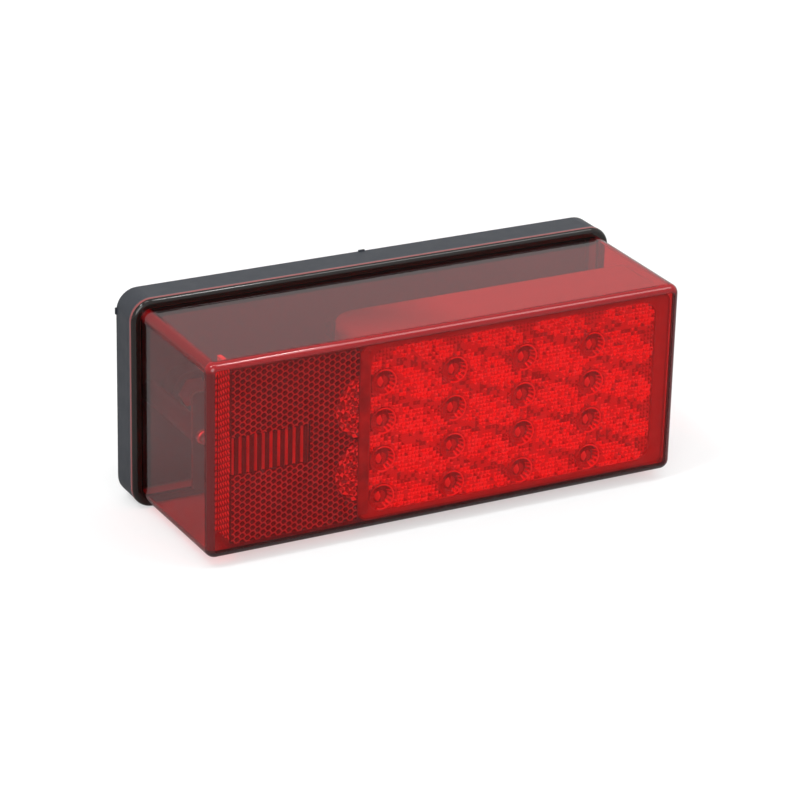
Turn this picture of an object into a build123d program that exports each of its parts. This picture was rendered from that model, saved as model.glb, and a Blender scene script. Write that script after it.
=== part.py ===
from build123d import *
import os
from math import atan, cos, degrees, radians, sin, sqrt

# A sealed wrap-around LED tail lamp for the left rear corner of a trailer, built as it comes
# apart on a bench. Millimetres. The origin is the centre of the rear mounting face. The lens
# faces -Y, the studs point along +Y, +Z is up, and -X is the outboard end with the side marker.

# Lens: an 8 inch wide red shell with a flange round its open rear edge
LENS_W = 203.0
LENS_H = 78.8
LENS_DEPTH = 60.8
LENS_DRAFT = 0.54
LENS_WALL = 2.0
LENS_CORNER = 4.5
LENS_INSIDE_CORNER = 2.5
LENS_FRONT_ROUND = 3.5
FLANGE_T = 2.7
FLANGE_REACH = 3.3
FLANGE_CORNER = 8.7
FLANGE_ROUND = 1.9
SKIRT_DEPTH = 4.0

# Rear housing: a shallow tray that the lens closes
HOUSING_DEPTH = 14.0
HOUSING_INSET = 0.15
HOUSING_CORNER = 8.7
HOUSING_WALL = 2.6
HOUSING_FLOOR = 3.0
HOUSING_BACK_ROUND = 1.4
SEAL_GAP = 0.2
SEAL_BEAD = 1.2
BACK_RECESS = 1.2
BACK_RIM = 6.0
BACK_RIB = 5.0
BACK_PAD = 1.5
NUB_LENGTH = 2.6
NUB_W = 0.9
NUB_TOP_X = 0.0
NUB_SIDE_Z = 34.5

# Planes along Y
Y_FLOOR = -HOUSING_FLOOR
Y_JOINT = -HOUSING_DEPTH
Y_LEDGE = Y_JOINT - FLANGE_T
Y_FACE = Y_LEDGE - LENS_DEPTH
Y_LENS_INSIDE = Y_FACE + LENS_WALL

DRAFT_ANGLE = degrees(atan(LENS_DRAFT / LENS_DEPTH))
LENS_W_REAR = LENS_W + 2 * LENS_DRAFT
LENS_H_REAR = LENS_H + 2 * LENS_DRAFT
FLANGE_W = LENS_W_REAR + 2 * FLANGE_REACH
FLANGE_H = LENS_H_REAR + 2 * FLANGE_REACH
HOUSING_W = FLANGE_W - 2 * HOUSING_INSET
HOUSING_H = FLANGE_H - 2 * HOUSING_INSET
TRAY_W = HOUSING_W - 2 * HOUSING_WALL
TRAY_H = HOUSING_H - 2 * HOUSING_WALL
TRAY_CORNER = HOUSING_CORNER - HOUSING_WALL
SKIRT_W = TRAY_W - 2 * SEAL_GAP
SKIRT_H = TRAY_H - 2 * SEAL_GAP
SKIRT_CORNER = TRAY_CORNER - SEAL_GAP

# Mounting studs, 1/4-20, 7/8 inch long, at 6 inch centres, with a nut and lock washer each
STUD_SPACING = 152.4
STUD_LENGTH = 22.2
STUD_SHANK_R = 3.175
STUD_SHANK_LENGTH = 2.4
STUD_NECK_R = 3.75
STUD_HEAD_FLATS = 11.1
STUD_HEAD_H = 4.0
THREAD_PITCH = 1.27
THREAD_CREST_R = 3.10
THREAD_ROOT_R = 2.45
THREAD_TURNS = 14
THREAD_RUNOUT = 0.4
STUD_TIP_BEVEL = 0.6
BOSS_R = 9.0
BOSS_SEAT = -7.5
NUT_FLATS = 11.1
NUT_H = 5.6
NUT_BORE_R = 3.15
NUT_BEVEL = 30.0
NUT_COUNTERSINK = 0.4
WASHER_R = 5.9
WASHER_BORE_R = 3.3
WASHER_T = 1.6
WASHER_SLIT = 1.2
WASHER_SLIT_ANGLE = 25.0
WASHER_REST_Y = 12.0
FIT_GAP = 0.05

# LED chamber: a pale open box behind the inboard two thirds of the lens
CHAMBER_LEFT = -38.0
CHAMBER_RIGHT = 98.0
CHAMBER_H = 72.6
CHAMBER_WALL = 1.8
CHAMBER_BACK_T = 2.0
CHAMBER_FRONT = Y_LENS_INSIDE + 0.7
CHAMBER_REAR = -44.5
CHAMBER_CORNER = 4.0
CHAMBER_TURN = 13.0
WINDOW_LEFT = -33.5
WINDOW_RIGHT = 91.8
WINDOW_H = 67.6
WINDOW_CORNER = 6.5
WINDOW_DEPTH = 4.0

# LED grid, shared by the bullseye optics, the board and the LEDs
COLUMNS = 4
ROWS = 4
COLUMN_PITCH = 30.45
ROW_PITCH = 15.8
FIRST_COLUMN = -27.7
FIRST_ROW = -27.9
BULLSEYE_R = 5.5
BULLSEYE_H = 1.5
OPTIC_T = 2.2
OPTIC_GAP = 0.2
OPTIC_SETBACK = 0.1

# Boards, LEDs and small components
BOARD_T = 1.6
BOARD_CORNER = 2.0
MAIN_BOARD_BACK = -60.4
MAIN_BOARD_LEFT = -32.4
MAIN_BOARD_RIGHT = 95.0
MAIN_BOARD_H = 66.0
LED_R = 2.5
LED_RIM_R = 2.9
LED_RIM_T = 1.0
LED_BODY = 6.0
LED_LEG = 0.5
LED_LEG_PITCH = 2.54
LEG_HOLE_R = 0.45
LEG_TAIL = 1.2
RESISTOR_W = 6.3
RESISTOR_L = 3.2
RESISTOR_T = 0.7
DIODE_W = 4.3
DIODE_L = 2.6
DIODE_T = 2.1
DIODE_BEVEL = 0.3

# Self-tapping screws that hold the boards
SCREW_R = 1.4
SCREW_HEAD_R = 2.8
SCREW_HEAD_H = 2.0
SCREW_HEAD_ROUND = 0.7
SCREW_LENGTH = 15.0
MAIN_SCREW_LENGTH = 23.0
SCREW_TIP = 0.8
SCREW_SLOT_L = 3.2
SCREW_SLOT_W = 0.8
SCREW_SLOT_DEPTH = 1.1
SCREW_PASS_R = 1.65
POST_R = 4.0
POST_BORE_DEPTH = 9.0

# Reflex and marker optics in the outboard third
REFLEX_LEFT = -91.1
REFLEX_RIGHT = -38.3
REFLEX_BOTTOM = -35.2
REFLEX_TOP = 35.0
REFLEX_FRONT = Y_LENS_INSIDE + 0.4
REFLEX_T = 2.2
STRIP_T = 2.0
STRIP_DEPTH = 10.8
STRIP_GAP = 0.1
MARKER_RIGHT = -58.8
MARKER_BOTTOM = -7.2
MARKER_TOP = 8.2
FLUTES = 10
FLUTE_H = 0.9
HALF_DISC_R = 13.0
HALF_DISC_X = -34.8
HALF_DISC_ZS = (10.7, -15.4)
HALF_DISC_T = 3.6
PIECE_GAP = 0.25

# Marker board, on two posts behind the reflex plate
MARKER_BOARD_BACK = -50.5
MARKER_BOARD_LEFT = -95.0
MARKER_BOARD_RIGHT = -39.5
MARKER_BOARD_BOTTOM = -22.0
MARKER_BOARD_TOP = 18.0
MARKER_SCREW_XS = (-91.0, -58.5)
MARKER_LED_PLACES = ((-83.0, 0.5), (-67.0, 0.5), (-44.0, 10.7), (-44.0, -15.4))

# License plate light in the lens's bottom wall
LICENSE_W = 50.0
LICENSE_DEPTH = 18.0
LICENSE_CORNER = 4.0
LICENSE_Y = -33.0
SHELF_Z = -26.0
SHELF_T = 2.0
SHELF_W = 56.0
SHELF_FRONT = -42.5
LICENSE_BOARD_W = 52.0
LICENSE_BOARD_DEPTH = 16.0
LICENSE_LED_XS = (-12.0, 0.0, 12.0)
LICENSE_SCREW_XS = (-21.0, 21.0)
LICENSE_BOSS_H = 12.0
CHIP_LED_W = 5.0
CHIP_LED_T = 1.4
CHIP_LED_LENS_R = 1.9
CHIP_LED_LENS_H = 0.6

# Leads: ground, tail and marker, stop and turn
LEAD_R = 1.1
CORE_R = 0.7
LEAD_STRIP = 9.0
LEAD_RING_R = 2.4
LEAD_BEND_R = 14.0
BOOT_Z = -4.0
BOOT_R = 8.0
BOOT_LENGTH = 8.0
BOOT_NECK_R = 6.5
BOOT_FLANGE_R = 9.0
BOOT_FLANGE_T = 1.6
BOOT_NOSE_R = 5.2
BOOT_NOSE_LENGTH = 7.0
BOOT_SEAT_R = 9.0
BOOT_PAD_R = 12.0
GROOVES = 3
GROOVE_PITCH = 2.0
GROOVE_W = 0.9
GROOVE_DEPTH = 1.0
PLUG_R = 11.0
PLUG_H = 6.0
LEAD_STRAIGHT_Y = 24.0
LEAD_ENTRY_Y = -36.0
LEAD_BOARD_X = 17.0
LEAD_SLOT_W = 16.0
LEAD_SLOT_H = 8.0
LEAD_SLOT_CORNER = 2.0
LEAD_STAGGER = 1.25
LEAD_END_X = 86.0
LEAD_END_RISE = 6.0
LEAD_END_DROP = 22.0

# Two thin wires from the main board to the marker board
JUMPER_R = 0.8
JUMPER_PITCH = 3.0
JUMPER_BEND_R = 4.0
JUMPER_LOOP = 12.0
JUMPER_START_X = -28.0
JUMPER_START_Z = -18.0
JUMPER_END_X = -50.0
JUMPER_END_Z = -8.0


def block(width, height, y_front, y_back, corner=0.0, x=0.0, z=0.0, draft=0.0):
    """A slab across Y: width along X, height along Z, with the edges along Y rounded."""
    outline = RectangleRounded(width, height, corner) if corner else Rectangle(width, height)
    back = Plane.XZ.offset(-y_back)
    return extrude(back * Pos(x, z) * outline, amount=y_back - y_front, taper=draft)


def span_block(x_left, x_right, z_low, z_high, y_front, y_back, corner=0.0):
    """The same slab, placed by its sides."""
    middle_x = (x_left + x_right) / 2
    middle_z = (z_low + z_high) / 2
    return block(x_right - x_left, z_high - z_low, y_front, y_back, corner, middle_x, middle_z)


def rod(radius, y_front, y_back, x=0.0, z=0.0):
    """A round bar along Y."""
    return extrude(Plane.XZ.offset(-y_back) * Pos(x, z) * Circle(radius), amount=y_back - y_front)


def hex_bar(flats, y_front, y_back, x=0.0, z=0.0):
    """A hexagonal bar along Y."""
    outline = RegularPolygon(flats / 2, 6, major_radius=False)
    return extrude(Plane.XZ.offset(-y_back) * Pos(x, z) * outline, amount=y_back - y_front)


def at_studs(shape):
    """Two copies of a shape made on the axis, one at each stud."""
    return [Pos(side * STUD_SPACING / 2, 0, 0) * shape for side in (-1, 1)]


def led_places():
    """Centre (x, z) of every main LED."""
    return [
        (FIRST_COLUMN + COLUMN_PITCH * i, FIRST_ROW + ROW_PITCH * j)
        for i in range(COLUMNS)
        for j in range(ROWS)
    ]


def main_screw_places():
    """Centre (x, z) of the main board's screws, half a pitch off the LEDs."""
    return [
        (FIRST_COLUMN + COLUMN_PITCH * i, FIRST_ROW + ROW_PITCH * j)
        for i in (0.5, COLUMNS - 0.5)
        for j in (0.5, ROWS - 1.5)
    ]


def marker_screw_places():
    """Centre (x, z) of the marker board's screws."""
    return [(x, 0.0) for x in MARKER_SCREW_XS]


def lens_outside():
    """The drafted box that the lens's outside follows, from the flange to the rounded face."""
    body = block(LENS_W_REAR, LENS_H_REAR, Y_FACE, Y_LEDGE, LENS_CORNER, draft=DRAFT_ANGLE)
    return fillet(body.faces().sort_by(Axis.Y)[0].edges(), LENS_FRONT_ROUND)


def lens_inside():
    """The hollow of the lens, from inside the skirt to one wall behind the face."""
    y_open = Y_JOINT + SKIRT_DEPTH
    spread = 2 * LENS_DRAFT * (y_open - Y_LEDGE) / LENS_DEPTH
    width = LENS_W_REAR - 2 * LENS_WALL + spread
    height = LENS_H_REAR - 2 * LENS_WALL + spread
    hollow = block(
        width, height, Y_LENS_INSIDE, y_open, LENS_INSIDE_CORNER, draft=DRAFT_ANGLE
    )
    return fillet(hollow.faces().sort_by(Axis.Y)[0].edges(), LENS_FRONT_ROUND - LENS_WALL)


def license_opening(margin=0.0):
    """A prism along Z through the lens's bottom wall."""
    outline = RectangleRounded(
        LICENSE_W + 2 * margin, LICENSE_DEPTH + 2 * margin, LICENSE_CORNER + margin
    )
    below = Plane.XY.offset(-FLANGE_H)
    return extrude(below * Pos(0, LICENSE_Y) * outline, amount=FLANGE_H)


def outer_lens():
    """Red shell: drafted box, flange with a rounded front edge, and a skirt into the housing."""
    flange = block(FLANGE_W, FLANGE_H, Y_LEDGE, Y_JOINT, FLANGE_CORNER)
    flange = fillet(flange.faces().sort_by(Axis.Y)[0].edges(), FLANGE_ROUND)
    skirt = block(SKIRT_W, SKIRT_H, Y_JOINT, Y_JOINT + SKIRT_DEPTH, SKIRT_CORNER)
    return lens_outside() + flange + skirt - lens_inside() - license_opening(PIECE_GAP)


def license_window():
    """Clear window that fills the opening in the lens's bottom wall."""
    return (lens_outside() - lens_inside()) & license_opening()


def seal_seat(y_back):
    """The ring between the lens's skirt and the stepped rim of the housing."""
    outer_w = SKIRT_W + 2 * SEAL_BEAD
    outer_h = SKIRT_H + 2 * SEAL_BEAD
    outer = block(outer_w, outer_h, Y_JOINT, y_back, SKIRT_CORNER + SEAL_BEAD)
    return outer - block(SKIRT_W, SKIRT_H, Y_JOINT, y_back, SKIRT_CORNER)


def sealant_bead():
    """Adhesive that fills the step between lens and housing."""
    return seal_seat(Y_JOINT + SEAL_BEAD)


def back_pads():
    """What stays level with the mounting face: stud pads, the boot pad, and ribs between them."""
    pads = rod(BOOT_PAD_R, -BACK_RECESS, 0, 0, BOOT_Z)
    for pad in at_studs(rod(BOSS_R + BACK_PAD, -BACK_RECESS, 0)):
        pads += pad
    pads += block(HOUSING_W - BACK_RIM, BACK_RIB, -BACK_RECESS, 0)
    for x in (-STUD_SPACING / 2, 0, STUD_SPACING / 2):
        pads += block(BACK_RIB, HOUSING_H - BACK_RIM, -BACK_RECESS, 0, x=x)
    return pads


def license_shelf():
    """Shelf off the housing floor with two screw bosses on top, for the license board."""
    middle_y = (SHELF_FRONT + Y_FLOOR) / 2
    depth = Y_FLOOR - SHELF_FRONT
    shelf = Pos(0, middle_y, SHELF_Z + SHELF_T / 2) * Box(SHELF_W, depth, SHELF_T)
    boss = Cylinder(POST_R, LICENSE_BOSS_H, align=(Align.CENTER, Align.CENTER, Align.MIN))
    for x in LICENSE_SCREW_XS:
        shelf += Pos(x, LICENSE_Y, SHELF_Z + SHELF_T) * boss
    bore = Cylinder(SCREW_R + FIT_GAP, 3 * LICENSE_BOSS_H)
    for x in LICENSE_SCREW_XS:
        shelf -= Pos(x, LICENSE_Y, SHELF_Z) * bore
    return shelf


def gate_nubs():
    """Small moulding nubs left on the rear edge, one on top and one at the outboard end."""
    top = Pos(NUB_TOP_X, -BACK_RECESS, HOUSING_H / 2) * Box(NUB_LENGTH, NUB_W, NUB_W)
    side = Pos(-HOUSING_W / 2, -BACK_RECESS, NUB_SIDE_Z) * Box(NUB_W, NUB_W, NUB_LENGTH)
    return [top, side]


def rear_housing():
    """Tray with stepped rim, recessed back, stud bosses, board posts and the license shelf."""
    tray = block(HOUSING_W, HOUSING_H, Y_JOINT, 0, HOUSING_CORNER)
    tray = fillet(tray.faces().sort_by(Axis.Y)[-1].edges(), HOUSING_BACK_ROUND)
    tray -= block(TRAY_W, TRAY_H, Y_JOINT, Y_FLOOR, TRAY_CORNER)
    tray -= seal_seat(Y_JOINT + SEAL_BEAD)
    recess_w = HOUSING_W - 2 * BACK_RIM
    recess_h = HOUSING_H - 2 * BACK_RIM
    recess = block(recess_w, recess_h, -BACK_RECESS, 0, HOUSING_CORNER - BACK_RIM / 2)
    tray -= recess - back_pads()
    for nub in gate_nubs():
        tray += nub
    for boss in at_studs(rod(BOSS_R, BOSS_SEAT - STUD_HEAD_H, Y_FLOOR)):
        tray += boss
    for x, z in main_screw_places():
        tray += rod(POST_R, CHAMBER_REAR, Y_FLOOR, x, z)
    for x, z in marker_screw_places():
        tray += rod(POST_R, MARKER_BOARD_BACK, Y_FLOOR, x, z)
    tray += license_shelf()
    for x, z in main_screw_places():
        tray -= rod(SCREW_R + FIT_GAP, CHAMBER_REAR, CHAMBER_REAR + POST_BORE_DEPTH, x, z)
    for x, z in marker_screw_places():
        bore_end = MARKER_BOARD_BACK + SCREW_LENGTH
        tray -= rod(SCREW_R + FIT_GAP, MARKER_BOARD_BACK, bore_end, x, z)
    pocket = hex_bar(STUD_HEAD_FLATS + 2 * FIT_GAP, BOSS_SEAT - STUD_HEAD_H, BOSS_SEAT)
    for hole in at_studs(pocket + rod(STUD_NECK_R + FIT_GAP, BOSS_SEAT, 0)):
        tray -= hole
    tray -= rod(BOOT_SEAT_R, -BACK_RECESS, 0, 0, BOOT_Z)
    return tray - rod(BOOT_NECK_R + FIT_GAP, Y_FLOOR, 0, 0, BOOT_Z)


def thread_profile():
    """Half section of the stud beyond its neck: plain shank, ridges at the thread pitch, tip."""
    points = [(0, 0), (STUD_SHANK_R, 0), (STUD_SHANK_R, STUD_SHANK_LENGTH)]
    y_start = STUD_SHANK_LENGTH + THREAD_RUNOUT
    for turn in range(THREAD_TURNS):
        points.append((THREAD_ROOT_R, y_start + THREAD_PITCH * turn))
        points.append((THREAD_CREST_R, y_start + THREAD_PITCH * (turn + 0.5)))
    points.append((THREAD_ROOT_R, y_start + THREAD_PITCH * THREAD_TURNS))
    points.append((THREAD_ROOT_R - STUD_TIP_BEVEL, STUD_LENGTH))
    points.append((0, STUD_LENGTH))
    return make_face(Polyline(*points, close=True))


def mounting_stud():
    """Hex-headed stud on the Y axis, its head held in the housing boss."""
    stud = revolve(thread_profile(), Axis.Y)
    stud += rod(STUD_NECK_R, BOSS_SEAT, 0)
    return stud + hex_bar(STUD_HEAD_FLATS, BOSS_SEAT - STUD_HEAD_H, BOSS_SEAT)


def hex_nut():
    """Nut on the Y axis with both sets of corners bevelled and a countersunk plain bore."""
    y_front = WASHER_REST_Y + WASHER_T
    y_back = y_front + NUT_H
    corner_r = NUT_FLATS / sqrt(3)
    bevel = (corner_r - NUT_FLATS / 2) * sin(radians(NUT_BEVEL))
    blank = chamfer(rod(corner_r, y_front, y_back).edges(), bevel, 2 * bevel)
    nut = blank & hex_bar(NUT_FLATS, y_front, y_back)
    nut -= rod(NUT_BORE_R, y_front, y_back)
    rims = nut.edges().filter_by(GeomType.CIRCLE).sort_by(lambda edge: edge.radius)[:2]
    return chamfer(rims, NUT_COUNTERSINK)


def lock_washer():
    """Split ring with a square section, on the Y axis."""
    y_back = WASHER_REST_Y + WASHER_T
    ring = rod(WASHER_R, WASHER_REST_Y, y_back) - rod(WASHER_BORE_R, WASHER_REST_Y, y_back)
    slit = block(WASHER_SLIT, 2 * WASHER_R, WASHER_REST_Y, y_back, z=WASHER_R)
    return ring - Rot(0, WASHER_SLIT_ANGLE, 0) * slit


def led_chamber():
    """Pale box, open to the front, with one turned rear corner and standoffs for the board."""
    width = CHAMBER_RIGHT - CHAMBER_LEFT
    middle = (CHAMBER_RIGHT + CHAMBER_LEFT) / 2
    box = block(width, CHAMBER_H, CHAMBER_FRONT, CHAMBER_REAR, CHAMBER_CORNER, x=middle)
    inner_w = width - 2 * CHAMBER_WALL
    inner_h = CHAMBER_H - 2 * CHAMBER_WALL
    inner_rear = CHAMBER_REAR - CHAMBER_BACK_T
    front_wall = CHAMBER_FRONT + WINDOW_DEPTH
    hollow = block(inner_w, inner_h, front_wall, inner_rear, x=middle)
    uprights = hollow.edges().filter_by(Axis.Z)
    outboard_rear = uprights.sort_by(lambda edge: edge.center().X - edge.center().Y)[0]
    hollow = fillet(outboard_rear, CHAMBER_TURN - CHAMBER_WALL)
    turn = span_block(
        CHAMBER_LEFT,
        CHAMBER_LEFT + CHAMBER_TURN,
        -CHAMBER_H,
        CHAMBER_H,
        CHAMBER_REAR - CHAMBER_TURN,
        CHAMBER_REAR,
    )
    centre = Pos(CHAMBER_LEFT + CHAMBER_TURN, CHAMBER_REAR - CHAMBER_TURN, 0)
    box -= turn - centre * Cylinder(CHAMBER_TURN, 2 * CHAMBER_H)
    half = WINDOW_H / 2
    box -= hollow
    box -= span_block(
        WINDOW_LEFT, WINDOW_RIGHT, -half, half, CHAMBER_FRONT, front_wall, WINDOW_CORNER
    )
    for x, z in main_screw_places():
        box += rod(POST_R, MAIN_BOARD_BACK, inner_rear, x, z)
        box -= rod(SCREW_PASS_R, MAIN_BOARD_BACK, CHAMBER_REAR, x, z)
    slot = block(
        LEAD_SLOT_W,
        LEAD_SLOT_H,
        inner_rear,
        CHAMBER_REAR,
        LEAD_SLOT_CORNER,
        LEAD_BOARD_X,
        BOOT_Z,
    )
    return box - slot


def bullseye(y_base):
    """A domed lens on the Y axis that bulges along +Y from a foot sunk in the plate."""
    foot = y_base - OPTIC_T / 2
    ball_r = (BULLSEYE_R**2 + BULLSEYE_H**2) / (2 * BULLSEYE_H)
    shoulder = BULLSEYE_R / 2
    rise = sqrt(ball_r**2 - shoulder**2) - (ball_r - BULLSEYE_H)
    top = (0, y_base + BULLSEYE_H)
    rim = (BULLSEYE_R, y_base)
    outline = Polyline(top, (0, foot), (BULLSEYE_R, foot), rim)
    dome = ThreePointArc(rim, (shoulder, y_base + rise), top)
    return revolve(make_face(outline + dome), Axis.Y)


def led_optic_plate():
    """Clear plate in the chamber's mouth with a bullseye lens behind it for every LED."""
    gap = OPTIC_GAP
    half = WINDOW_H / 2 - gap
    y_front = CHAMBER_FRONT + OPTIC_SETBACK
    y_back = y_front + OPTIC_T
    plate = span_block(
        WINDOW_LEFT + gap,
        WINDOW_RIGHT - gap,
        -half,
        half,
        y_front,
        y_back,
        WINDOW_CORNER - gap,
    )
    cap = bullseye(y_back)
    return plate + [Pos(x, 0, z) * cap for x, z in led_places()]


def led_on_y(y_base):
    """A 5 mm LED on the Y axis: rim, barrel and dome, pointing along -Y."""
    rim = rod(LED_RIM_R, y_base - LED_RIM_T, y_base)
    barrel = rod(LED_R, y_base - LED_BODY, y_base - LED_RIM_T)
    return rim + barrel + Pos(0, y_base - LED_BODY, 0) * Sphere(LED_R)


def led_leg_pair(y_base):
    """Two square legs from the LED's base to just behind the board."""
    y_back = y_base + BOARD_T + LEG_TAIL
    return [
        block(LED_LEG, LED_LEG, y_base, y_back, x=side * LED_LEG_PITCH / 2) for side in (-1, 1)
    ]


def drilled_board(board, places):
    """A board with two leg holes for every LED on it."""
    for x, z in places:
        for side in (-1, 1):
            leg_x = x + side * LED_LEG_PITCH / 2
            board -= rod(LEG_HOLE_R, -CHAMBER_H, 0, leg_x, z)
    return board


def main_led_board():
    """Circuit board in the chamber, on its standoffs."""
    half = MAIN_BOARD_H / 2
    front = MAIN_BOARD_BACK - BOARD_T
    board = span_block(
        MAIN_BOARD_LEFT, MAIN_BOARD_RIGHT, -half, half, front, MAIN_BOARD_BACK, BOARD_CORNER
    )
    for x, z in main_screw_places():
        board -= rod(SCREW_PASS_R, front, MAIN_BOARD_BACK, x, z)
    return drilled_board(board, led_places())


def main_leds():
    """The sixteen LEDs on the main board."""
    led = led_on_y(MAIN_BOARD_BACK - BOARD_T)
    return [Pos(x, 0, z) * led for x, z in led_places()]


def led_legs():
    """Legs of the main LEDs and of the marker LEDs."""
    legs = []
    for x, z in led_places():
        legs += [Pos(x, 0, z) * leg for leg in led_leg_pair(MAIN_BOARD_BACK - BOARD_T)]
    for x, z in MARKER_LED_PLACES:
        legs += [Pos(x, 0, z) * leg for leg in led_leg_pair(MARKER_BOARD_BACK - BOARD_T)]
    return legs


def board_resistors():
    """Chip resistors between the LED columns, beside every second row."""
    front = MAIN_BOARD_BACK - BOARD_T
    resistor = block(RESISTOR_W, RESISTOR_L, front - RESISTOR_T, front)
    return [
        Pos(FIRST_COLUMN + COLUMN_PITCH * (i + 0.5), 0, FIRST_ROW + ROW_PITCH * j) * resistor
        for i in range(COLUMNS - 1)
        for j in range(0, ROWS, 2)
    ]


def board_diodes():
    """Blocking diodes that keep the tail and stop feeds apart."""
    front = MAIN_BOARD_BACK - BOARD_T
    body = block(DIODE_W, DIODE_L, front - DIODE_T, front)
    diode = chamfer(body.faces().sort_by(Axis.Y)[0].edges(), DIODE_BEVEL)
    z = FIRST_ROW + ROW_PITCH * (ROWS - 1) / 2
    return [
        Pos(FIRST_COLUMN + COLUMN_PITCH * (i + 0.5), 0, z) * diode for i in range(COLUMNS - 1)
    ]


def screw_on_y(length):
    """Pan-head screw on the Y axis with its head's seat at the origin, pointing along +Y."""
    head = rod(SCREW_HEAD_R, -SCREW_HEAD_H, 0)
    head = fillet(head.faces().sort_by(Axis.Y)[0].edges(), SCREW_HEAD_ROUND)
    shank = rod(SCREW_R, 0, length)
    shank = chamfer(shank.faces().sort_by(Axis.Y)[-1].edges(), SCREW_TIP)
    slot_floor = SCREW_SLOT_DEPTH - SCREW_HEAD_H
    slots = block(SCREW_SLOT_L, SCREW_SLOT_W, -SCREW_HEAD_H, slot_floor)
    slots += block(SCREW_SLOT_W, SCREW_SLOT_L, -SCREW_HEAD_H, slot_floor)
    return head + shank - slots


def main_board_screws():
    """Long screws that pass the chamber's standoffs and hold board and chamber together."""
    screw = screw_on_y(MAIN_SCREW_LENGTH)
    seat = MAIN_BOARD_BACK - BOARD_T
    return [Pos(x, seat, z) * screw for x, z in main_screw_places()]


def board_screws():
    """Screws of the marker board and the license board."""
    screw = screw_on_y(SCREW_LENGTH)
    marker_seat = MARKER_BOARD_BACK - BOARD_T
    screws = [Pos(x, marker_seat, z) * screw for x, z in marker_screw_places()]
    upright = Rot(90, 0, 0) * screw
    screws += [Pos(x, LICENSE_Y, SHELF_Z - BOARD_T) * upright for x in LICENSE_SCREW_XS]
    return screws


def half_discs(radius, y_front, y_back):
    """The two half round optics that stand against the chamber's outboard wall."""
    left_side = span_block(
        HALF_DISC_X - radius, REFLEX_RIGHT, REFLEX_BOTTOM, REFLEX_TOP, y_front, y_back
    )
    return [rod(radius, y_front, y_back, HALF_DISC_X, z) & left_side for z in HALF_DISC_ZS]


def rear_reflex_plate():
    """Reflex reflector plate behind the outboard third of the face, cut out for its optics."""
    y_back = REFLEX_FRONT + REFLEX_T
    plate = span_block(
        REFLEX_LEFT, REFLEX_RIGHT, REFLEX_BOTTOM, REFLEX_TOP, REFLEX_FRONT, y_back
    )
    plate -= span_block(
        REFLEX_LEFT, MARKER_RIGHT, MARKER_BOTTOM, MARKER_TOP, REFLEX_FRONT, y_back
    )
    for disc in half_discs(HALF_DISC_R + PIECE_GAP, REFLEX_FRONT, y_back):
        plate -= disc
    return plate


def side_reflex_strip():
    """Reflex strip that turns the corner and faces the trailer's side."""
    y_front = REFLEX_FRONT + REFLEX_T + STRIP_GAP
    x_right = REFLEX_LEFT + STRIP_T
    y_back = y_front + STRIP_DEPTH
    return span_block(REFLEX_LEFT, x_right, REFLEX_BOTTOM, REFLEX_TOP, y_front, y_back)


def flute(width, height):
    """One upright flute of the marker window, convex towards -Y, standing on the XY plane."""
    crown = ThreePointArc((-width / 2, FLUTE_H), (0, 0), (width / 2, FLUTE_H))
    back = Polyline(
        (width / 2, FLUTE_H), (width / 2, REFLEX_T), (-width / 2, REFLEX_T), (-width / 2, FLUTE_H)
    )
    return extrude(make_face(crown + back), amount=height)


def marker_optic():
    """Clear fluted window for the marker light."""
    x_left = REFLEX_LEFT + PIECE_GAP
    width = (MARKER_RIGHT - PIECE_GAP - x_left) / FLUTES
    z_low = MARKER_BOTTOM + PIECE_GAP
    one = flute(width, MARKER_TOP - PIECE_GAP - z_low)
    places = [Pos(x_left + width * (i + 0.5), REFLEX_FRONT, z_low) for i in range(FLUTES)]
    optic = places[0] * one
    for place in places[1:]:
        optic += place * one
    return optic


def clearance_optics():
    """Two half round lenses for the clearance light."""
    return half_discs(HALF_DISC_R, REFLEX_FRONT, REFLEX_FRONT + HALF_DISC_T)


def marker_board():
    """Small circuit board behind the reflex plate."""
    front = MARKER_BOARD_BACK - BOARD_T
    board = span_block(
        MARKER_BOARD_LEFT,
        MARKER_BOARD_RIGHT,
        MARKER_BOARD_BOTTOM,
        MARKER_BOARD_TOP,
        front,
        MARKER_BOARD_BACK,
        BOARD_CORNER,
    )
    for x, z in marker_screw_places():
        board -= rod(SCREW_PASS_R, front, MARKER_BOARD_BACK, x, z)
    return drilled_board(board, MARKER_LED_PLACES)


def marker_leds():
    """Two LEDs behind the marker window and one behind each clearance lens."""
    led = led_on_y(MARKER_BOARD_BACK - BOARD_T)
    return [Pos(x, 0, z) * led for x, z in MARKER_LED_PLACES]


def license_board():
    """Small circuit board under the shelf."""
    board = Pos(0, LICENSE_Y, SHELF_Z - BOARD_T / 2) * Box(
        LICENSE_BOARD_W, LICENSE_BOARD_DEPTH, BOARD_T
    )
    for x in LICENSE_SCREW_XS:
        board -= Pos(x, LICENSE_Y, SHELF_Z) * Cylinder(SCREW_PASS_R, 4 * BOARD_T)
    return board


def license_leds():
    """White surface-mounted LEDs that shine down through the clear window."""
    hanging = (Align.CENTER, Align.CENTER, Align.MAX)
    body = Box(CHIP_LED_W, CHIP_LED_W, CHIP_LED_T, align=hanging)
    lens = Cylinder(CHIP_LED_LENS_R, CHIP_LED_T + CHIP_LED_LENS_H, align=hanging)
    return [Pos(x, LICENSE_Y, SHELF_Z - BOARD_T) * (body + lens) for x in LICENSE_LED_XS]


def lead_offsets():
    """Places of the three leads in the boot, on a ring round its axis."""
    return [
        (LEAD_RING_R * cos(radians(a)), LEAD_RING_R * sin(radians(a))) for a in (90, 210, 330)
    ]


def boot_groove(index):
    """Ring cut out of the boot's nose."""
    y_front = BOOT_LENGTH + GROOVE_W + GROOVE_PITCH * index
    y_back = y_front + GROOVE_W
    return rod(BOOT_NOSE_R, y_front, y_back) - rod(BOOT_NOSE_R - GROOVE_DEPTH, y_front, y_back)


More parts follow.
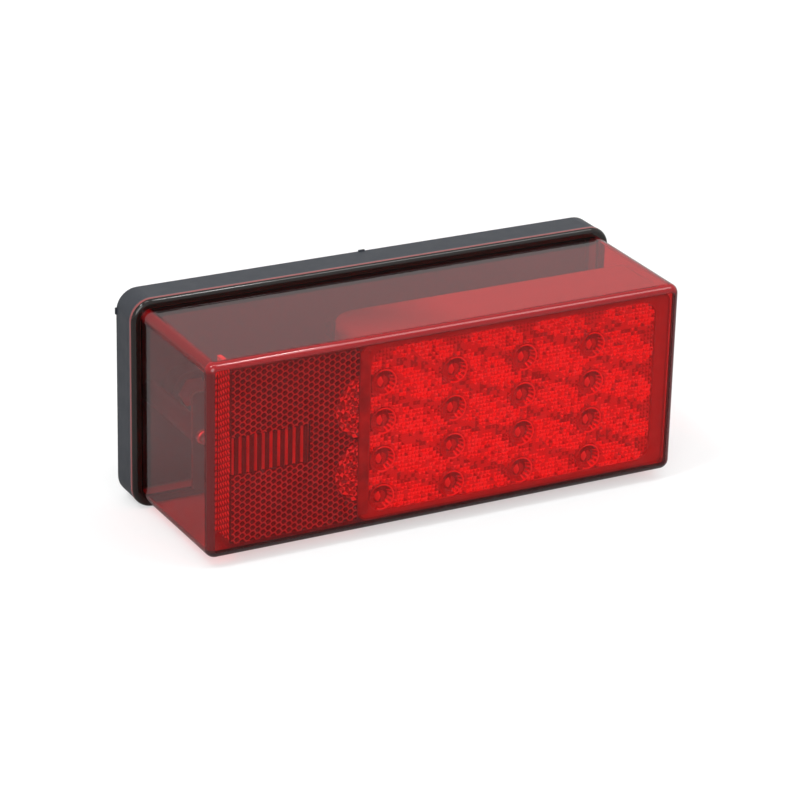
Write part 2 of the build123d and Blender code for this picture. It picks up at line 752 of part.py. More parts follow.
def lead_boot():
    """Rubber boot: inner flange, neck through the housing, collar and ribbed nose outside."""
    y_in = Y_FLOOR - BOOT_FLANGE_T
    y_end = BOOT_LENGTH + BOOT_NOSE_LENGTH
    boot = rod(BOOT_NOSE_R, BOOT_LENGTH, y_end)
    for index in range(GROOVES):
        boot -= boot_groove(index)
    boot += rod(BOOT_R, -BACK_RECESS, BOOT_LENGTH)
    boot += rod(BOOT_NECK_R, Y_FLOOR, -BACK_RECESS)
    boot += rod(BOOT_FLANGE_R, y_in, Y_FLOOR)
    for x, z in lead_offsets():
        boot -= rod(LEAD_R + FIT_GAP / 2, y_in, y_end, x, z)
    return Pos(0, 0, BOOT_Z) * boot


def lead_path(index):
    """Line of one lead: from the main board, through the boot, then round to the inboard side.

    The outer leads turn a little earlier or later, so that the three lie side by side.
    """
    x, z = lead_offsets()[index]
    board_x = LEAD_BOARD_X + 2 * x
    y_turn = LEAD_STRAIGHT_Y + LEAD_BEND_R - LEAD_STAGGER * x
    return FilletPolyline(
        (board_x, MAIN_BOARD_BACK, BOOT_Z),
        (board_x, LEAD_ENTRY_Y, BOOT_Z),
        (x, Y_FLOOR - PLUG_H - LEAD_BEND_R / 2, BOOT_Z + z),
        (x, y_turn, BOOT_Z + z),
        (LEAD_END_X + x, y_turn + LEAD_END_RISE, BOOT_Z - LEAD_END_DROP + 2 * z),
        radius=(LEAD_BEND_R / 2, LEAD_BEND_R / 2, LEAD_BEND_R),
    )


def lead(index):
    """Insulation of one lead, from the board to its stripped end."""
    path = lead_path(index)
    start = Plane(origin=path @ 0, z_dir=path % 0)
    return sweep(start * Circle(LEAD_R), path=path)


def lead_cores():
    """Bare tinned ends of the leads, one beyond each lead's insulation."""
    cores = []
    for index in range(3):
        path = lead_path(index)
        end = Plane(origin=path @ 1, z_dir=path % 1)
        cores.append(extrude(end * Circle(CORE_R), amount=LEAD_STRIP))
    return cores


def jumper_path(index):
    """Line of one jumper: out of the chamber's back, over, and down to the marker board."""
    step = JUMPER_PITCH * index
    x_start = JUMPER_START_X - step
    x_end = JUMPER_END_X + step
    z_end = JUMPER_END_Z + step
    z_top = JUMPER_START_Z + JUMPER_BEND_R - step
    y_out = CHAMBER_REAR + JUMPER_LOOP
    return FilletPolyline(
        (x_start, CHAMBER_REAR + STRIP_GAP, JUMPER_START_Z - step),
        (x_start, y_out, z_top + JUMPER_BEND_R / 2),
        (x_end, MARKER_BOARD_BACK + JUMPER_LOOP + JUMPER_BEND_R, z_top),
        (x_end, MARKER_BOARD_BACK + JUMPER_LOOP - JUMPER_BEND_R / 2, z_end),
        (x_end, MARKER_BOARD_BACK, z_end),
        radius=JUMPER_BEND_R,
    )


def jumper_wires():
    """Two thin wires that loop over from the main board to the marker board."""
    wires = []
    for index in (0, 1):
        path = jumper_path(index)
        start = Plane(origin=path @ 0, z_dir=path % 0)
        wires.append(sweep(start * Circle(JUMPER_R), path=path))
    return wires


def potting_plug():
    """Resin that seals the leads where they enter the housing."""
    plug = rod(PLUG_R, Y_FLOOR - PLUG_H, Y_FLOOR, 0, BOOT_Z)
    plug -= rod(BOOT_FLANGE_R, Y_FLOOR - BOOT_FLANGE_T, Y_FLOOR, 0, BOOT_Z)
    for x, z in lead_offsets():
        plug -= rod(LEAD_R + FIT_GAP / 2, Y_FLOOR - PLUG_H, Y_FLOOR, x, BOOT_Z + z)
    return plug


def group(shapes):
    """Separate solids that share one node."""
    return Compound(children=list(shapes))


def main():
    os.makedirs("parts", exist_ok=True)
    left_nut, right_nut = at_studs(hex_nut())
    left_washer, right_washer = at_studs(lock_washer())
    pieces = {
        "rear_housing": rear_housing(),
        "outer_lens": outer_lens(),
        "sealant_bead": sealant_bead(),
        "license_window": license_window(),
        "led_chamber": led_chamber(),
        "led_optic_plate": led_optic_plate(),
        "main_led_board": main_led_board(),
        "main_leds": group(main_leds()),
        "led_legs": group(led_legs()),
        "board_resistors": group(board_resistors()),
        "board_diodes": group(board_diodes()),
        "main_board_screws": group(main_board_screws()),
        "board_screws": group(board_screws()),
        "rear_reflex_plate": rear_reflex_plate(),
        "side_reflex_strip": side_reflex_strip(),
        "marker_optic": marker_optic(),
        "clearance_optics": group(clearance_optics()),
        "marker_board": marker_board(),
        "marker_leds": group(marker_leds()),
        "license_board": license_board(),
        "license_leds": group(license_leds()),
        "mounting_studs": group(at_studs(mounting_stud())),
        "lock_washer_left": left_washer,
        "lock_washer_right": right_washer,
        "nut_left": left_nut,
        "nut_right": right_nut,
        "lead_boot": lead_boot(),
        "lead_white": lead(0),
        "lead_brown": lead(1),
        "lead_yellow": lead(2),
        "lead_cores": group(lead_cores()),
        "jumper_wires": group(jumper_wires()),
        "potting_plug": potting_plug(),
    }
    for name, shape in pieces.items():
        export_step(shape, f"parts/{name}.step")


main()
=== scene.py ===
import math

import bmesh
import bpy
from mathutils import Matrix, Vector


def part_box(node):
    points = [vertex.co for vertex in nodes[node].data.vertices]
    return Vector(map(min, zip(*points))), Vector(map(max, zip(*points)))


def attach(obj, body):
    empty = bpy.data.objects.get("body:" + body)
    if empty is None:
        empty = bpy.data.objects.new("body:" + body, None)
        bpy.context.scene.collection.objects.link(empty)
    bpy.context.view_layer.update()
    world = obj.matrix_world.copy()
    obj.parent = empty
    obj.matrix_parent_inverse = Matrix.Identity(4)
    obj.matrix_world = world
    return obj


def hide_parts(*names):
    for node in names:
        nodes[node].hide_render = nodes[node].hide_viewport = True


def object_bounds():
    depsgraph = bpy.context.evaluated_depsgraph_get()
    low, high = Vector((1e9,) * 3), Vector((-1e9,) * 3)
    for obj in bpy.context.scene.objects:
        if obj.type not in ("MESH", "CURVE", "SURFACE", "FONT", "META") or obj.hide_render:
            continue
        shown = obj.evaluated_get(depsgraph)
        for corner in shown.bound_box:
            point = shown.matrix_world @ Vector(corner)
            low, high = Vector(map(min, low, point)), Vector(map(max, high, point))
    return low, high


# A sealed trailer tail light. Blender works in metres and the constants are millimetres.
MM = 0.001

# Planes and rows shared with the CAD
OPTIC_FRONT = -74.7
OPTIC_T = 2.2
PLATE_CORNER = 6.3
LED_COLUMNS = 4
LED_ROWS = 4
LED_PITCH_X = 30.45
LED_PITCH_Z = 15.8
LED_FIRST_X = -27.7
LED_FIRST_Z = -27.9

# LED chamber: centres of its corner rounds, and a radius between its inner and outer faces
CHAMBER_MIDDLE_X = 30.0
CHAMBER_HALF_X = 64.0
CHAMBER_HALF_Z = 32.3
CHAMBER_ROUND = 3.1
CHAMBER_RIM_Y = -73.6

# Where the painted shade on the chamber's outside turns from dark to pale, inboard along X and
# forward along Y
CHAMBER_SHADED_X = -25.0
CHAMBER_LIT_X = 12.0
CHAMBER_SHADED_Y = -47.0
CHAMBER_LIT_Y = -70.0
CHAMBER_FORWARD_SHARE = 0.7

# Rounded folds of the lens: their rear end round the front, the largest part of the normal
# where they begin and where they are full, and how far they hide what is behind
FOLD_REAR_Y = -73.6
FOLD_FLAT = 0.995
FOLD_ROUND = 0.96
FOLD_SHARE = 0.9
LONG_FOLD_SHARE = 0.4
FLANGE_SHARE = 0.92

# Flange of the lens: its front, and the front of its pale rear edge
FLANGE_FRONT_Y = -16.9
FLANGE_EDGE_Y = -15.3

# Bullseye lenses: a ribbed cup with a small dome at its foot
BULLSEYE_R = 5.4
BULLSEYE_HOLE_R = 5.5
BULLSEYE_T = 3.0
CUP_LAND_R = 4.85
CUP_TOP_R = 4.7
CUP_MIDDLE_R = 4.2
CUP_FOOT_R = 3.6
CUP_DEPTH = 2.3
DOME_R = 3.4
DOME_TIP = 0.9
DOME_RINGS = 6
RIB_COUNT = 30
RIB_H = 0.22

# Dark posts behind the bullseyes
POST_W = 1.6
POST_H = 5.4
POST_T = 0.6
POST_GAP = 0.05

# Pillow prisms between the bullseyes, and where their painted light and painted shade fall
PILLOWS_X = 20
PILLOWS_Z = 10
PILLOW_H = 0.6
PILLOW_FLOOR = 0.7
FAN_SLOPE = 0.36
FAN_FOOT = -3.6
SHADE_TOP = -4.4
HALO_R = 6.5

# Material slots of the optics: clear facets, and copies painted lighter and darker as painted light
# and painted shade
CLEAR = 0
PAINTED_LIGHT = 1
PAINTED_SHADE = 2

# Reflex cells
CELL_FLATS = 2.5
CELL_RIM = 0.76
CELL_DEPTH = 0.95
CELL_STEP = 0.42
CELL_SHOULDER = 0.08
CELL_GAP = 0.03

# How far a slab reaches past the outline that it is cut to
MARGIN = 2.0

# Flutes of the marker window
FLUTE_PITCH = 3.2
FLUTE_STEPS = 10
FLUTE_H = 0.9
FLUTE_VALLEY = 2

# Ribs down the outboard rim of the LED chamber
RIM_LEFT = -37.9
RIM_RIGHT = -33.7
RIM_TOP = 33.5
RIM_FRONT = -74.8
RIM_RIB_H = 0.5
RIM_RIBS = 9

# Clearance lenses; their facets take clear, painted-light and painted-shade slots in turn
DISC_TONES = (CLEAR, PAINTED_LIGHT, PAINTED_SHADE, CLEAR, PAINTED_SHADE, PAINTED_LIGHT, PAINTED_SHADE)
DISC_X = -34.8
DISC_R = 13.0
DISC_Z_LOW = -15.4
DISC_Z_HIGH = 10.7
FACET_RINGS = 7
FACET_SPOKES = 14
FACET_H = 0.55

# Stage: radiance all round, and the floor's colour seen, mirrored and seen through the lamp; the
# floor is darker for rays that mirror or bounce from it, and darker still through the lamp as
# painted shade
STUDIO_LEVEL = 0.85
FLOOR_SEEN = (0.95, 0.95, 0.95, 1.0)
FLOOR_MIRRORED = (0.45, 0.45, 0.45, 1.0)
FLOOR_THROUGH_SHADED = (0.38, 0.38, 0.38, 1.0)
FLOOR_GLOW = 0.5
FLOOR_HALF = 3.0
FLOOR_GAP = 0.0002

# Soft boxes: direction, half angles where the edge begins and ends, added radiance
SOFT_BOXES = (
    ((-0.50, -0.75, 0.45), 14, 22, 3.8),
    ((0.44, -0.30, 0.85), 7, 12, 4.0),
    ((-0.46, -0.10, 0.88), 3, 6, 20.0),
)

# Small lamps for the glints: mirroring spot and its normal, width in metres, radiance
GLINT_REACH = 0.4
GLINT_DEPTH = 0.10
GLINTS = (
    ((-90.0, -76.5, 38.5), (0.0, -0.62, 0.78), 0.02, 22.0),
    ((-101.0, -75.0, 38.0), (-0.5, -0.5, 0.7), 0.02, 22.0),
    ((-102.0, -16.0, 41.5), (-0.25, -0.6, 0.75), 0.03, 18.0),
)

# Camera: in front of the lamp, above it and to its outboard side
CAMERA_AZIMUTH = -28.248
CAMERA_ELEVATION = 22.809
CAMERA_DISTANCE = 1.2998
CAMERA_ROLL = 1.432
CAMERA_LENS = 149.27
CAMERA_TARGET = Vector((-0.00137, -0.0391, -0.00616))

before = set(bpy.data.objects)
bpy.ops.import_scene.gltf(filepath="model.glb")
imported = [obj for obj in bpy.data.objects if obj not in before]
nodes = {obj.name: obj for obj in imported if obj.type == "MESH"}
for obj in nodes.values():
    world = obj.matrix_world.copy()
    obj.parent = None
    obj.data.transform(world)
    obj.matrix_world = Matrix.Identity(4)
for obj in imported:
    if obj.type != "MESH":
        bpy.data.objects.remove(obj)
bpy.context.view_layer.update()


# ---------------------------------------------------------------- shader helpers


def material_tree(name):
    """A new node material with nothing in it but its output."""
    material = bpy.data.materials.new(name)
    material.use_nodes = True
    tree = material.node_tree
    tree.nodes.clear()
    output = tree.nodes.new("ShaderNodeOutputMaterial")
    return material, tree, output


def add(tree, kind, inputs=None, **settings):
    """Adds a node. Each input is a number, a colour or another node's output socket."""
    node = tree.nodes.new(kind)
    for key, value in settings.items():
        setattr(node, key, value)
    for key, value in (inputs or {}).items():
        if isinstance(value, bpy.types.NodeSocket):
            tree.links.new(value, node.inputs[key])
        elif isinstance(value, tuple) and len(value) == 3 and node.inputs[key].type == "RGBA":
            node.inputs[key].default_value = (*value, 1.0)
        else:
            node.inputs[key].default_value = value
    return node


def place(tree):
    """The object coordinates, which are the row's frame in metres."""
    return add(tree, "ShaderNodeTexCoord").outputs["Object"]


def noise(tree, scale, detail=3.0, roughness=0.55):
    """Noise between 0 and 1. scale is in features per metre."""
    inputs = {"Vector": place(tree), "Scale": scale, "Detail": detail, "Roughness": roughness}
    return add(tree, "ShaderNodeTexNoise", inputs).outputs["Fac"]


def between(tree, factor, low, high):
    """low where factor is 0 and high where it is 1."""
    inputs = {"Value": factor, "To Min": low, "To Max": high}
    return add(tree, "ShaderNodeMapRange", inputs).outputs["Result"]


def ramp(tree, value, start, end, top=1.0):
    """0 where value is at start, rising to top where it is at end."""
    inputs = {"Value": value, "From Min": start, "From Max": end, "To Min": 0.0, "To Max": top}
    return add(tree, "ShaderNodeMapRange", inputs).outputs["Result"]


def axes(tree, vector):
    """The X, Y and Z outputs of a vector."""
    return add(tree, "ShaderNodeSeparateXYZ", {0: vector}).outputs


def past(tree, value, limit):
    """How far a value's size is past a limit in millimetres, or 0."""
    size = maths(tree, "ABSOLUTE", value)
    return maths(tree, "MAXIMUM", maths(tree, "SUBTRACT", size, limit * MM), 0.0)


def blend_colours(tree, factor, first, second):
    """first where factor is 0 and second where it is 1."""
    node = add(tree, "ShaderNodeMix", data_type="RGBA")
    for key, value in ((0, factor), (6, first), (7, second)):
        if isinstance(value, bpy.types.NodeSocket):
            tree.links.new(value, node.inputs[key])
        elif key == 0:
            node.inputs[key].default_value = value
        else:
            node.inputs[key].default_value = (*value, 1.0)
    return node.outputs[2]


def maths(tree, operation, first, second=0.0):
    return add(tree, "ShaderNodeMath", {0: first, 1: second}, operation=operation).outputs[0]


def bump(tree, height, strength, distance):
    inputs = {"Height": height, "Strength": strength, "Distance": distance}
    return add(tree, "ShaderNodeBump", inputs).outputs["Normal"]


def plastic(name, dark, light, rough=(0.35, 0.5), grain=900.0, grain_depth=0.00003):
    """Moulded plastic: slow colour drift, uneven gloss and a fine grain."""
    material, tree, output = material_tree(name)
    colour = blend_colours(tree, noise(tree, 45.0), dark, light)
    roughness = between(tree, noise(tree, 160.0, 5.0), *rough)
    normal = bump(tree, noise(tree, grain, 4.0), 0.35, grain_depth)
    surface = add(
        tree,
        "ShaderNodeBsdfPrincipled",
        {"Base Color": colour, "Roughness": roughness, "Normal": normal},
    )
    tree.links.new(surface.outputs[0], output.inputs["Surface"])
    return material


def metal(name, dark, light, rough=(0.25, 0.45)):
    """Plated or tinned metal with cloudy plating and fine scratches along its turning."""
    material, tree, output = material_tree(name)
    cloud = noise(tree, 320.0, 6.0, 0.65)
    stretch = add(tree, "ShaderNodeMapping", {"Vector": place(tree), "Scale": (1.0, 9.0, 1.0)})
    scratch = add(
        tree,
        "ShaderNodeTexNoise",
        {"Vector": stretch.outputs[0], "Scale": 1400.0, "Detail": 2.0},
    ).outputs["Fac"]
    surface = add(
        tree,
        "ShaderNodeBsdfPrincipled",
        {
            "Base Color": blend_colours(tree, cloud, dark, light),
            "Metallic": 1.0,
            "Roughness": between(tree, cloud, *rough),
            "Normal": bump(tree, scratch, 0.3, 0.00002),
        },
    )
    tree.links.new(surface.outputs[0], output.inputs["Surface"])
    return material


def clear_plastic(name, tint, ior=1.45, rough=(0.0, 0.02), clarity=1.0, absorb=None):
    """Clear plastic. Lamps shine straight through it, so that what it covers is lit.

    clarity below 1 makes it milky, as finely frosted facets are.
    """
    material, tree, output = material_tree(name)
    glass = add(
        tree,
        "ShaderNodeBsdfPrincipled",
        {
            "Base Color": (*tint, 1.0),
            "Roughness": between(tree, noise(tree, 120.0, 4.0), *rough),
            "IOR": ior,
            "Transmission Weight": clarity,
            "Normal": bump(tree, noise(tree, 60.0, 2.0), 0.15, 0.00004),
        },
    )
    straight = add(tree, "ShaderNodeBsdfTransparent", {"Color": (*tint, 1.0)})
    path = add(tree, "ShaderNodeLightPath")
    unseen = maths(
        tree, "MAXIMUM", path.outputs["Is Shadow Ray"], path.outputs["Is Diffuse Ray"]
    )
    mix = add(tree, "ShaderNodeMixShader", {0: unseen, 1: glass.outputs[0], 2: straight.outputs[0]})
    tree.links.new(mix.outputs[0], output.inputs["Surface"])
    if absorb:
        colour, density = absorb
        volume = add(
            tree, "ShaderNodeVolumeAbsorption", {"Color": (*colour, 1.0), "Density": density}
        )
        tree.links.new(volume.outputs[0], output.inputs["Volume"])
    return material


# ---------------------------------------------------------------- mesh helpers


def make_object(name, mesh_bm, materials=()):
    """A new object in the scene from a bmesh given in millimetres."""
    bmesh.ops.recalc_face_normals(mesh_bm, faces=mesh_bm.faces)
    bmesh.ops.scale(mesh_bm, vec=(MM, MM, MM), verts=mesh_bm.verts)
    mesh = bpy.data.meshes.new(name)
    mesh_bm.to_mesh(mesh)
    mesh_bm.free()
    for material in materials:
        mesh.materials.append(material)
    item = bpy.data.objects.new(name, mesh)
    bpy.context.scene.collection.objects.link(item)
    return item


def join(whole, part):
    """Adds one bmesh to another and frees it."""
    carrier = bpy.data.meshes.new("part")
    part.to_mesh(carrier)
    part.free()
    whole.from_mesh(carrier)
    bpy.data.meshes.remove(carrier)


def node_copy(node, name):
    """A closed copy of a CAD node's mesh, to cut another mesh with."""
    copy_bm = bmesh.new()
    copy_bm.from_mesh(nodes[node].data)
    bmesh.ops.remove_doubles(copy_bm, verts=copy_bm.verts, dist=1e-6)
    mesh = bpy.data.meshes.new(name)
    copy_bm.to_mesh(mesh)
    copy_bm.free()
    item = bpy.data.objects.new(name, mesh)
    bpy.context.scene.collection.objects.link(item)
    return item


def boolean(item, cutter, operation):
    """Applies one exact boolean to item and removes the cutter."""
    modifier = item.modifiers.new("cut", "BOOLEAN")
    modifier.operation = operation
    modifier.solver = "EXACT"
    modifier.object = cutter
    bpy.context.view_layer.update()
    graph = bpy.context.evaluated_depsgraph_get()
    result = bpy.data.meshes.new_from_object(item.evaluated_get(graph))
    item.modifiers.clear()
    old = item.data
    item.data = result
    bpy.data.meshes.remove(old)
    bpy.data.objects.remove(cutter, do_unlink=True)


def finish_piece(item, replaced=()):
    """Fixes a piece to the lamp and hides the CAD nodes it stands for."""
    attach(item, "lamp")
    if replaced:
        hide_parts(*replaced)
    return item


def led_places():
    return [
        (LED_FIRST_X + LED_PITCH_X * i, LED_FIRST_Z + LED_PITCH_Z * j)
        for i in range(LED_COLUMNS)
        for j in range(LED_ROWS)
    ]


# ---------------------------------------------------------------- reflex reflectors


def hex_slab(u_low, u_high, v_low, v_high, thickness, to_place):
    """Closed slab whose front is a lattice of three-faced hexagonal prism cells.

    u runs across the cells' columns and v up them. to_place(u, v, depth) gives a point.
    The rims of the cells carry material 1 and their faces material 0.
    """
    reach = CELL_FLATS / math.sqrt(3)
    slab = bmesh.new()
    found = {}

    def vertex(u, v, depth):
        key = (round(u, 3), round(v, 3), round(depth, 3))
        if key not in found:
            found[key] = slab.verts.new(to_place(u, v, depth))
        return found[key]

    columns = range(int(u_low / (1.5 * reach)) - 2, int(u_high / (1.5 * reach)) + 3)
    rows = range(int(v_low / CELL_FLATS) - 2, int(v_high / CELL_FLATS) + 3)
    for column in columns:
        for row in rows:
            u = 1.5 * reach * column
            v = CELL_FLATS * (row + 0.5 * (column % 2))
            if not (u_low - reach < u < u_high + reach and v_low - reach < v < v_high + reach):
                continue
            corners = [
                (math.cos(math.radians(60 * k)), math.sin(math.radians(60 * k)))
                for k in range(6)
            ]
            outer = [vertex(u + reach * a, v + reach * b, 0.0) for a, b in corners]
            inner = [
                vertex(
                    u + reach * CELL_RIM * a,
                    v + reach * CELL_RIM * b,
                    CELL_SHOULDER + CELL_STEP * (k % 2),
                )
                for k, (a, b) in enumerate(corners)
            ]
            middle = vertex(u, v, CELL_DEPTH)
            for k in range(6):
                following = (k + 1) % 6
                rim = slab.faces.new((outer[k], outer[following], inner[following], inner[k]))
                rim.material_index = 1
                slab.faces.new((inner[k], inner[following], middle))
    border = [edge for edge in slab.edges if edge.is_boundary]
    walls = bmesh.ops.extrude_edge_only(slab, edges=border)["geom"]
    moved = [part for part in walls if isinstance(part, bmesh.types.BMVert)]
    shift = to_place(0, 0, thickness) - to_place(0, 0, 0)
    bmesh.ops.translate(slab, vec=shift, verts=moved)
    bmesh.ops.holes_fill(slab, edges=[e for e in slab.edges if e.is_boundary], sides=0)
    return slab


def reflex_plate(node, name, slab, materials):
    """A reflex piece: prism cells cut to the outline of its CAD node."""
    piece = make_object(name, slab, materials)
    boolean(piece, node_copy(node, name + "_cutter"), "INTERSECT")
    return finish_piece(piece, (node,))


def prism_material(name, dark, light, rough):
    """Moulded prism plastic with an uneven sheen."""
    material, tree, output = material_tree(name)
    surface = add(
        tree,
        "ShaderNodeBsdfPrincipled",
        {
            "Base Color": blend_colours(tree, noise(tree, 140.0), dark, light),
            "Roughness": between(tree, noise(tree, 500.0), *rough),
            "Coat Weight": 0.4,
        },
    )
    tree.links.new(surface.outputs[0], output.inputs["Surface"])
    return material


def build_reflex():
    """Dark prism faces that send light back the way it came, between bright rims; the faces carry
    painted shade and the rims painted light.
    """
    face = prism_material("reflex_faces", (0.05, 0.016, 0.016), (0.15, 0.04, 0.04), (0.12, 0.3))
    rim = prism_material("reflex_rims", (0.24, 0.08, 0.08), (0.50, 0.14, 0.15), (0.2, 0.45))
    low, high = (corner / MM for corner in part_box("rear_reflex_plate"))
    slab = hex_slab(
        low.x - MARGIN,
        high.x + MARGIN,
        low.z - MARGIN,
        high.z + MARGIN,
        high.y - low.y + MARGIN,
        lambda u, v, depth: Vector((u, low.y + CELL_GAP + depth, v)),
    )
    reflex_plate("rear_reflex_plate", "reflex_prisms_rear", slab, [face, rim])
    # Painted light and shade on the side strip: its faces are painted bright and its rims dark
    face = prism_material("strip_faces", (0.55, 0.2, 0.2), (0.95, 0.4, 0.4), (0.1, 0.25))
    rim = prism_material("strip_rims", (0.12, 0.04, 0.04), (0.3, 0.1, 0.1), (0.2, 0.45))
    low, high = (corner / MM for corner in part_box("side_reflex_strip"))
    slab = hex_slab(
        low.y - MARGIN,
        high.y + MARGIN,
        low.z - MARGIN,
        high.z + MARGIN,
        high.x - low.x + MARGIN,
        lambda u, v, depth: Vector((low.x + CELL_GAP + depth, u, v)),
    )
    reflex_plate("side_reflex_strip", "reflex_prisms_side", slab, [face, rim])


# ---------------------------------------------------------------- marker window


def build_marker_window():
    """Upright flutes, dark where they are clear, with painted light on the valleys between them."""
    low, high = (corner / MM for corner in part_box("marker_optic"))
    count = round((high.x - low.x) / FLUTE_PITCH)
    width = (high.x - low.x) / count
    profile = []
    for flute in range(count):
        for step in range(FLUTE_STEPS):
            across = 2 * step / FLUTE_STEPS - 1
            x = low.x + width * (flute + (across + 1) / 2)
            profile.append((x, low.y + FLUTE_H * across**2))
    profile.append((high.x, low.y + FLUTE_H))
    window = bmesh.new()
    columns = []
    for x, y in profile:
        ends = [(x, y, low.z), (x, y, high.z), (x, high.y, high.z), (x, high.y, low.z)]
        columns.append([window.verts.new(end) for end in ends])
    for index in range(len(columns) - 1):
        here = columns[index]
        there = columns[index + 1]
        step = index % FLUTE_STEPS
        valley = step < FLUTE_VALLEY or step >= FLUTE_STEPS - FLUTE_VALLEY
        for side in range(4):
            following = (side + 1) % 4
            face = window.faces.new((here[side], here[following], there[following], there[side]))
            face.material_index = 1 if side == 0 and valley else 0
    window.faces.new(columns[0])
    window.faces.new(columns[-1][::-1])
    clear = clear_plastic("optic_flute", (0.20, 0.12, 0.12), clarity=0.5)
    # Painted light: the valleys carry a pale copy of the plastic
    painted_valley_light = prism_material("flute_lines", (0.26, 0.1, 0.1), (0.64, 0.25, 0.25), (0.1, 0.3))
    piece = make_object("marker_flutes", window, [clear, painted_valley_light])
    finish_piece(piece, ("marker_optic",))


def build_rim_ribs():
    """Fine upright ribs down the outboard rim of the LED chamber."""
    pitch = (RIM_RIGHT - RIM_LEFT) / RIM_RIBS
    ribs = bmesh.new()
    for index in range(RIM_RIBS):
        left = RIM_LEFT + pitch * index
        outline = [(left, 0.0), (left + 0.35 * pitch, -RIM_RIB_H), (left + 0.95 * pitch, 0.0)]
        ends = [
            [ribs.verts.new((x, RIM_FRONT + depth, z)) for x, depth in outline]
            for z in (-RIM_TOP, RIM_TOP)
        ]
        for k in range(3):
            following = (k + 1) % 3
            ribs.faces.new((ends[0][k], ends[0][following], ends[1][following], ends[1][k]))
        ribs.faces.new(ends[0])
        ribs.faces.new(ends[1][::-1])
    paint = prism_material("chamber_rim", (0.12, 0.07, 0.07), (0.80, 0.4, 0.4), (0.1, 0.3))
    finish_piece(make_object("chamber_rim_ribs", ribs, [paint]))


# ---------------------------------------------------------------- clearance lenses


def half_disc(disc, radius, centre_x, centre_z, y_front, y_back):
    """Adds a closed half disc with a facetted front to a bmesh, bulging to -X."""
    rings = FACET_RINGS
    spokes = FACET_SPOKES

    def point(ring, spoke, y):
        angle = math.radians(90 + 180 * spoke / spokes)
        r = radius * ring / rings
        return Vector((centre_x + r * math.cos(angle), y, centre_z + r * math.sin(angle)))

    front = {}
    back = {}
    for ring in range(rings + 1):
        for spoke in range(spokes + 1):
            key = (ring, spoke) if ring else (0, 0)
            if key in front:
                continue
            front[key] = disc.verts.new(point(ring, spoke, y_front + FACET_H))
            back[key] = disc.verts.new(point(ring, spoke, y_back))

    def at(side, ring, spoke):
        return side[(ring, spoke) if ring else (0, 0)]

    for ring in range(rings):
        for spoke in range(spokes):
            cell = [(ring, spoke), (ring + 1, spoke), (ring + 1, spoke + 1), (ring, spoke + 1)]
            around = list(dict.fromkeys(at(front, *c) for c in cell))
            peak = sum((v.co for v in around), Vector()) / len(around)
            lift = FACET_H * (0.55 + 0.45 * math.sin(2.4 * spoke + 1.7 * ring))
            tip = disc.verts.new(peak - Vector((0, lift, 0)))
            for k, v in enumerate(around):
                facet = disc.faces.new((v, around[(k + 1) % len(around)], tip))
                # Painted light and shade: the facets take clear, painted-light and painted-shade
                # slots in turn
                facet.material_index = DISC_TONES[(3 * ring + 5 * spoke + k) % len(DISC_TONES)]
            disc.faces.new(list(dict.fromkeys(at(back, *c) for c in cell)))
    rim = [(rings, spoke) for spoke in range(spokes + 1)]
    rim += [(ring, spokes) for ring in range(rings - 1, 0, -1)]
    rim += [(0, 0)] + [(ring, 0) for ring in range(1, rings)]
    for k, key in enumerate(rim):
        following = rim[(k + 1) % len(rim)]
        disc.faces.new(
            (at(front, *key), at(front, *following), at(back, *following), at(back, *key))
        )


def build_clearance(bright, dark):
    """The two facetted half discs beside the LED chamber."""
    low, high = (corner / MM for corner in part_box("clearance_optics"))
    disc = bmesh.new()
    for centre_z in (DISC_Z_LOW, DISC_Z_HIGH):
        half_disc(disc, DISC_R, DISC_X, centre_z, low.y, high.y)
    clear = clear_plastic("optic_disc", (0.55, 0.40, 0.40), rough=(0.05, 0.2), clarity=0.5)
    piece = make_object("clearance_lenses", disc, [clear, bright, dark])
    outline = rounded_outline(low.x - 1, high.x, low.z - 1, high.z + 1, 0.5)
    keep = make_object("disc_outline", prism_outline(outline, low.y - 1, high.y + 1))
    boolean(piece, keep, "INTERSECT")
    finish_piece(piece, ("clearance_optics",))


# ---------------------------------------------------------------- LED optics


def scatter_of(i, j):
    """A scattered but fixed number from 0 to 1 for the pillow in column i and row j."""
    return (math.sin(12.9898 * i + 78.233 * j) * 43758.5453) % 1.0


def pillow_tones(x, z, scatter):
    """The material of each facet of a pillow.

    A fan of painted light leans down and inboard from each LED, with scattered pillows of painted
    shade below it.
    """
    beside = (x - LED_FIRST_X + LED_PITCH_X / 2) % LED_PITCH_X - LED_PITCH_X / 2
    above = (z - LED_FIRST_Z + LED_PITCH_Z / 2) % LED_PITCH_Z - LED_PITCH_Z / 2
    if math.hypot(beside, above) < HALO_R:
        return (PAINTED_SHADE, CLEAR, CLEAR, CLEAR)
    across = (x - LED_FIRST_X) % LED_PITCH_X
    sheared = z - LED_FIRST_Z + FAN_SLOPE * across
    up = (sheared + LED_PITCH_Z / 2) % LED_PITCH_Z - LED_PITCH_Z / 2
    in_fan = up > FAN_FOOT
    if up < SHADE_TOP and scatter < 0.38:
        return (PAINTED_SHADE, PAINTED_SHADE, CLEAR, PAINTED_SHADE)
    if scatter > 0.9:
        return (PAINTED_SHADE, CLEAR, CLEAR, PAINTED_SHADE)
    if in_fan and scatter < 0.45:
        return (PAINTED_LIGHT, PAINTED_LIGHT, CLEAR, PAINTED_LIGHT)
    if in_fan and scatter < 0.7:
        return (CLEAR, PAINTED_LIGHT, CLEAR, PAINTED_LIGHT)
    return (CLEAR, CLEAR, CLEAR, CLEAR) if scatter < 0.8 else (CLEAR, PAINTED_LIGHT, CLEAR, CLEAR)


